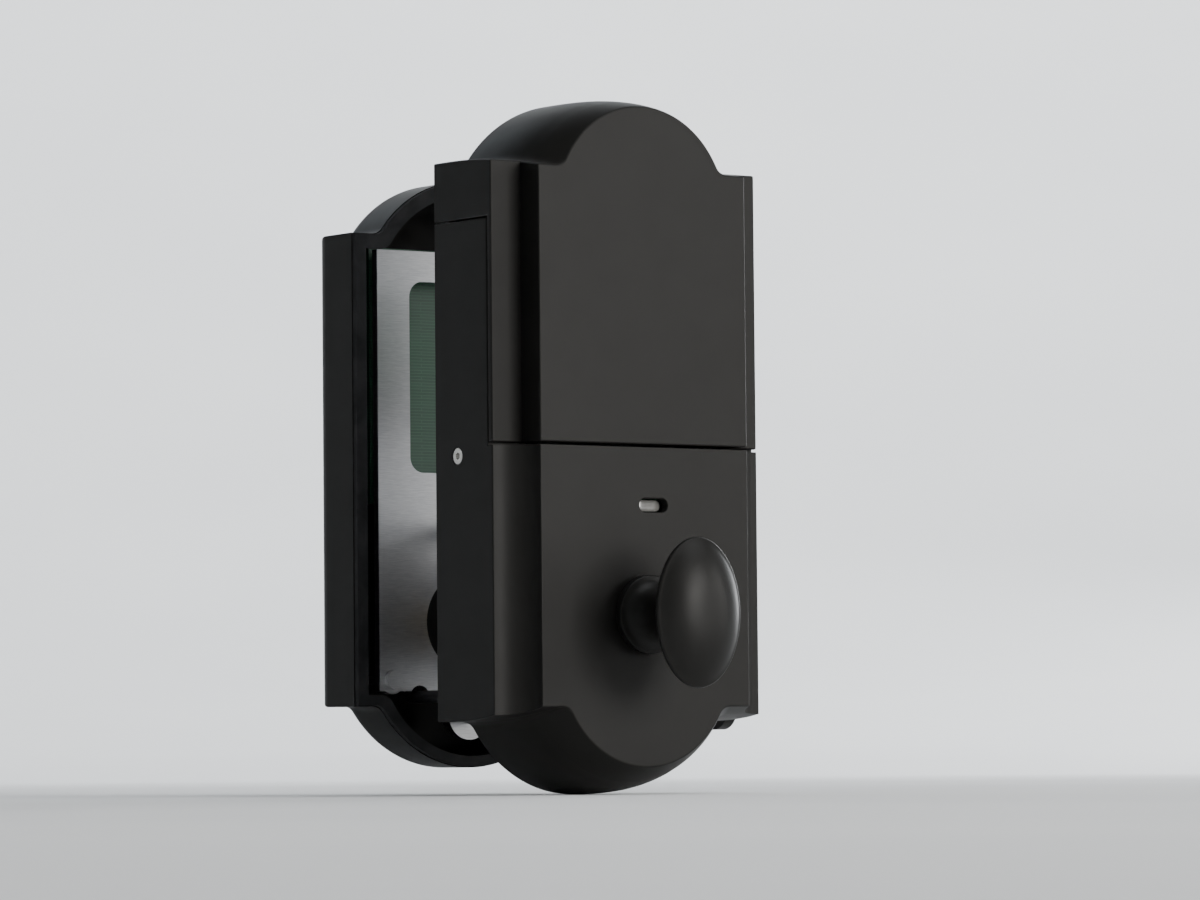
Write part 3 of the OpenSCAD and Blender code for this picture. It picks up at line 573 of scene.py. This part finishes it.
def make_thumbturn():
    """Stem, flared collar, waisted neck and an oval head with a shallow dome."""
    count = 96
    stem_r, foot_r, collar_r, neck_r = 5, 9.3, 9.4, 5.2
    foot_round, collar_round = 0.6, 0.5
    stem_end = 14.5
    foot = face_d + 0.31           # the collar's underside, just clear of the face
    collar = face_d + 2.1          # its widest ring
    hollow = face_d + 2.6          # the hollow runs from here up to the waist
    waist = face_d + 9.2

    def ring(a, b, d):
        return [room(a * cos(2 * pi * i / count), b * sin(2 * pi * i / count), d)
                for i in range(count)]

    def round_ring(r, d):
        return ring(r, r, d)

    rings = [round_ring(stem_r, stem_end), round_ring(stem_r, foot), round_ring(foot_r, foot)]
    # foot of the collar with a small round, then a quarter-round hollow up to the neck
    quarter = steps(0, pi / 2, 5)
    rings += [round_ring(foot_r + foot_round * sin(t), foot + foot_round * (1 - cos(t)))
              for t in quarter]
    rings += [round_ring(collar_r + collar_round * cos(t), collar + collar_round * sin(t))
              for t in quarter]
    rings += [round_ring(mix(collar_r, neck_r, sin(t)), mix(hollow, waist, 1 - cos(t)))
              for t in steps(0, pi / 2, 12)[1:]]
    # the neck swells into the back of the oval head
    back = knob_rim_d - 1.1
    for k in steps(0, 1, 14)[1:]:
        grow = k ** 2.1
        d = mix(waist, back, 1 - (1 - k) ** 1.7)
        rings.append(ring(mix(neck_r, knob_a - 0.5, grow), mix(neck_r, knob_b - 0.5, grow), d))
    # rounded edge of the head
    edge = 0.8
    for t in steps(-pi / 2, pi / 2, 9)[1:]:
        rings.append(ring(knob_a - edge + edge * cos(t), knob_b - edge + edge * cos(t),
                          knob_rim_d - 0.2 + 0.9 * sin(t)))
    # shallow dome from just inside the edge
    dome = knob_rim_d + 0.7
    height = -knob_low.y - knob_rim_d - 0.7
    for k in steps(1, 0, 18)[1:-1]:
        rings.append(ring((knob_a - edge) * k, (knob_b - edge) * k,
                          dome + height * (1 - k ** 2.6)))
    bm = bmesh.new()
    loops = loft(bm, rings, end=False)
    crown = bm.verts.new(room(0, 0, -knob_low.y))
    for i in range(count):
        bm.faces.new((loops[-1][i], loops[-1][(i + 1) % count], crown))
    tidy(bm)
    place("oval_thumbturn", bm, "spindle", knob_paint, ["thumbturn"], 50)


# ---------- outside unit ----------

out_w = escutcheon_high.x
out_front = escutcheon_high.y - door_t
out_back = escutcheon_low.y - door_t
# heights of the shoulder and the apex, arch radius and fillet radius at each end
out_top = (escutcheon_high.z - 15, escutcheon_high.z, 33, 4)
out_bottom = (-escutcheon_low.z - 16, -escutcheon_low.z, 33, 4)
first_row_z = (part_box("key_1")[1] / MM).z
last_row_z = (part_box("key_enter")[0] / MM).z
pad_z = (first_row_z + last_row_z) / 2
digit_size = 7.6
ink_t = 0.06                       # how far ink stands above and reaches below a key's top


def outside_form(t=0.0, start=out_back, front=out_front):
    """Solid form of the outside unit with a rounded front edge, drawn in by t."""
    roll_d, roll_in = 6, 5.6       # depth of the rounded edge and how far it draws in
    profile = [(start, 0), (front - roll_d, 0)]
    profile += [(front - roll_d + roll_d * sin(a), roll_in * (1 - cos(a)))
                for a in steps(0, pi / 2, 13)[1:]]
    rings = []
    for e, drawn_in in profile:
        shift = t + drawn_in
        ends = [(shoulder - shift, apex - shift, r - shift, f + shift)
                for shoulder, apex, r, f in (out_top, out_bottom)]
        inner = 30 - shift * 0.05
        outline = both_arches(out_w - shift, ends[0], ends[1], inner)
        rings.append([street(x, z, e) for x, z in outline])
    bm = bmesh.new()
    loft(bm, rings)
    tidy(bm)
    return bm


def out_hole(points, near, far):
    """A cutter of the given outline between two distances from the door's outside face."""
    return prism(points, lambda x, z, e: street(x, z, e), near, far)


def make_escutcheon():
    """Outside shell with a window for the keypad and a hole for the cylinder."""
    window = round_rect(52, 62, 6, 8, (0, pad_z))
    cylinder_hole = disc(13, 72)
    near, far = out_front - 3, out_front + 1
    bm = carve(outside_form(), [
        ("DIFFERENCE", outside_form(wall, out_back - over, out_front - wall)),
        ("DIFFERENCE", out_hole(window, near, far)),
        ("DIFFERENCE", out_hole(cylinder_hole, near, far)),
    ])
    soften(bm, lambda p: abs(p.y - door_t - out_front) < 0.02, 0.3)
    place("keypad_escutcheon", bm, "root", paint,
          ["exterior_escutcheon"])


def make_key(node):
    """A key cap with a pillowed top and its flange, in place of the plain one."""
    flange, flange_t = 1.6, 1.3    # what the flange adds to the width, and its thickness
    edge_in, crown_in = 1.4, 1.6   # what the rounded edge and the crown take off the width
    flange_corner, corner = 2.2, 2.3
    low, high = (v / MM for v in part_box(node))
    mid = ((low.x + high.x) / 2, (low.z + high.z) / 2)
    w, h = high.x - low.x - flange, high.z - low.z - flange
    foot, top = low.y - door_t, high.y - door_t
    rings = [(w + flange, h + flange, flange_corner, foot),
             (w + flange, h + flange, flange_corner, foot + flange_t),
             (w, h, corner, foot + flange_t)]
    for a in steps(0, pi / 2, 8):
        drawn = edge_in * (1 - cos(a))
        rings.append((w - drawn, h - drawn, corner - drawn / 2, top - 1.5 + 1.2 * sin(a)))
    for k in (0.4, 1):
        drawn = edge_in + crown_in * k
        rings.append((w - drawn, h - drawn, 1.6 - 0.5 * k, top - 0.3 + 0.3 * k))
    bm = bmesh.new()
    loft(bm, [[street(x, z, e) for x, z in round_rect(rw, rh, r, 7, mid)]
              for rw, rh, r, e in rings])
    tidy(bm)
    place(node + "_cap", bm, node + "_cap", key_plastic, [node], 50)
    return mid, top


def ink(name, bm, body):
    """Printed marks on a key."""
    place(name, bm, body, digit_ink)


def make_digit(name, text, mid, top, body):
    """A printed digit, a hair thick, that reads upright from outside."""
    curve = bpy.data.curves.new("scratch_text", "FONT")
    curve.body = text
    curve.size = digit_size
    curve.align_x = "CENTER"
    curve.align_y = "CENTER"
    curve.extrude = ink_t
    curve.resolution_u = 5
    obj = add_object("scratch_text", curve)
    bpy.context.view_layer.update()
    bm = bmesh.new()
    bm.from_mesh(obj.to_mesh())
    bpy.data.objects.remove(obj)
    bpy.data.curves.remove(curve)
    lows = [min(v.co[i] for v in bm.verts) for i in (0, 1)]
    highs = [max(v.co[i] for v in bm.verts) for i in (0, 1)]
    centre = [(a + b) / 2 for a, b in zip(lows, highs)]
    for v in bm.verts:
        v.co = street(mid[0] - (v.co.x - centre[0]), mid[1] + v.co.y - centre[1], top + v.co.z)
    bmesh.ops.reverse_faces(bm, faces=bm.faces)
    ink(name, bm, body)


def make_stroke_icon(name, stroke, mid, top, body, half=0.42):
    """A printed stroke of even width through a list of points seen from outside."""
    sides = ([], [])
    for i, (x, z) in enumerate(stroke):
        before = stroke[max(i - 1, 0)]
        after = stroke[min(i + 1, len(stroke) - 1)]
        run = Vector((after[0] - before[0], after[1] - before[1])).normalized() * half
        sides[0].append((x - run.y, z + run.x))
        sides[1].append((x + run.y, z - run.x))
    outline = sides[0] + sides[1][::-1]
    bm = bmesh.new()
    loft(bm, [[street(mid[0] - x, mid[1] + z, top + e) for x, z in outline]
              for e in (-ink_t, ink_t)])
    bmesh.ops.recalc_face_normals(bm, faces=bm.faces)
    ink(name, bm, body)


def make_keys():
    """Ten digit keys, a padlock key and a tick key."""
    for label in "1234567890":
        node = "key_" + label
        mid, top = make_key(node)
        make_digit("digit_" + label, label, mid, top, node + "_cap")
    mid, top = make_key("key_lock")
    shackle = [(1.25 * cos(a), 0.4 + 1.5 * sin(a)) for a in steps(0, pi, 13)]
    lock_body = [(-1.9, -1.1), (1.9, -1.1)]
    make_stroke_icon("icon_lock_shackle", shackle, mid, top, "key_lock_cap", 0.35)
    make_stroke_icon("icon_lock_body", lock_body, mid, top, "key_lock_cap", 1.45)
    mid, top = make_key("key_enter")
    tick = [(-2.2, 0.1), (-0.6, -1.7), (2.4, 2.0)]
    make_stroke_icon("icon_enter", tick, mid, top, "key_enter_cap")


# ---------- studio ----------

def make_studio():
    """A round pale floor that curves up into a wall all the way round."""
    floor_z, radius, rise, bend = cad_low.z, 4.2, 1.6, 2.8
    profile = [(radius * 0.3, 0.0), (radius - bend, 0.0)]
    profile += [(radius - bend + bend * sin(a), bend * (1 - cos(a)))
                for a in steps(0, pi / 2, 16)[1:]]
    profile += [(radius, bend + rise)]
    count = 96
    bm = bmesh.new()
    rows = [[bm.verts.new((r * cos(2 * pi * i / count), r * sin(2 * pi * i / count), floor_z + z))
             for i in range(count)] for r, z in profile]
    centre = bm.verts.new((0, 0, floor_z))
    for i in range(count):
        bm.faces.new((centre, rows[0][i], rows[0][(i + 1) % count]))
        for a, b in zip(rows, rows[1:]):
            bm.faces.new((a[i], b[i], b[(i + 1) % count], a[(i + 1) % count]))
    floor = mesh_object("studio_floor", bm)
    floor.data.polygons.foreach_set("use_smooth", [True] * len(floor.data.polygons))
    s = Surface("pale_floor", specular=0.2)
    s.colour(s.noise(3, 4), (0.70, 0.71, 0.72), (0.74, 0.75, 0.755))
    s.roughness(s.noise(8, 3), 0.75, 0.85)
    s.bump(s.noise(60, 4), strength=0.03, distance=0.001)
    floor.data.materials.append(s.material)


def area_light(name, place_at, aim, size, power, colour):
    """A soft rectangular light of the given size in metres and power in watts."""
    data = bpy.data.lights.new(name, "AREA")
    data.shape = "RECTANGLE"
    data.size, data.size_y = size
    data.energy = power
    data.color = colour
    obj = add_object(name, data)
    obj.location = place_at
    obj.rotation_euler = (Vector(aim) - Vector(place_at)).to_track_quat("-Z", "Y").to_euler()


def make_lights():
    """A key, fills on each side, a wash on the backdrop and a faint even sky."""
    target = (0, 0, 0.045)
    cool = (0.97, 0.985, 1.0)
    # large key a little to the right of the face's normal, so the left side falls into shade
    area_light("key_softbox", (0.42, -1.79, 0.40), target, (0.9, 0.9), 37, (1.0, 0.98, 0.945))
    area_light("right_strip", (1.50, -1.10, 0.30), target, (0.5, 1.0), 11, (1.0, 0.985, 0.96))
    area_light("street_softbox", (1.85, 0.95, 0.45), target, (0.8, 0.8), 16, cool)
    area_light("top_softbox", (0.5, -0.9, 2.0), (0.1, -0.1, 0), (1.5, 1.5), 24, cool)
    area_light("door_side_softbox", (0.0, 1.55, 1.1), target, (0.8, 0.8), 1.3, (0.72, 0.86, 1.0))
    area_light("backdrop_wash", (1.3, 1.3, 2.4), (2.2, 3.2, 0.7), (2.0, 1.2), 125,
               (0.96, 0.98, 1.0))
    world = bpy.data.worlds.new("studio_world")
    world.use_nodes = True
    world.node_tree.nodes["Background"].inputs["Color"].default_value = (0.86, 0.90, 0.94, 1)
    world.node_tree.nodes["Background"].inputs["Strength"].default_value = 0.07
    bpy.context.scene.world = world


def make_camera():
    """At the photograph's place relative to the inside face, with a longer lens."""
    data = bpy.data.cameras.new("camera")
    data.lens = 172
    data.clip_start = 0.05
    camera = add_object("camera", data)
    camera.location = (-0.8415, -1.2007, -0.0365)
    aim = Vector((0.007, -0.004, 0.043)) - Vector(camera.location)
    roll = Matrix.Rotation(radians(-0.5), 3, "Z")
    camera.rotation_euler = (aim.to_track_quat("-Z", "Y").to_matrix() @ roll).to_euler()
    bpy.context.scene.camera = camera


dress_cad_nodes()
make_battery_cover()
make_housing()
make_lens()
make_thumbturn()
make_escutcheon()
make_keys()
make_studio()
make_lights()
make_camera()
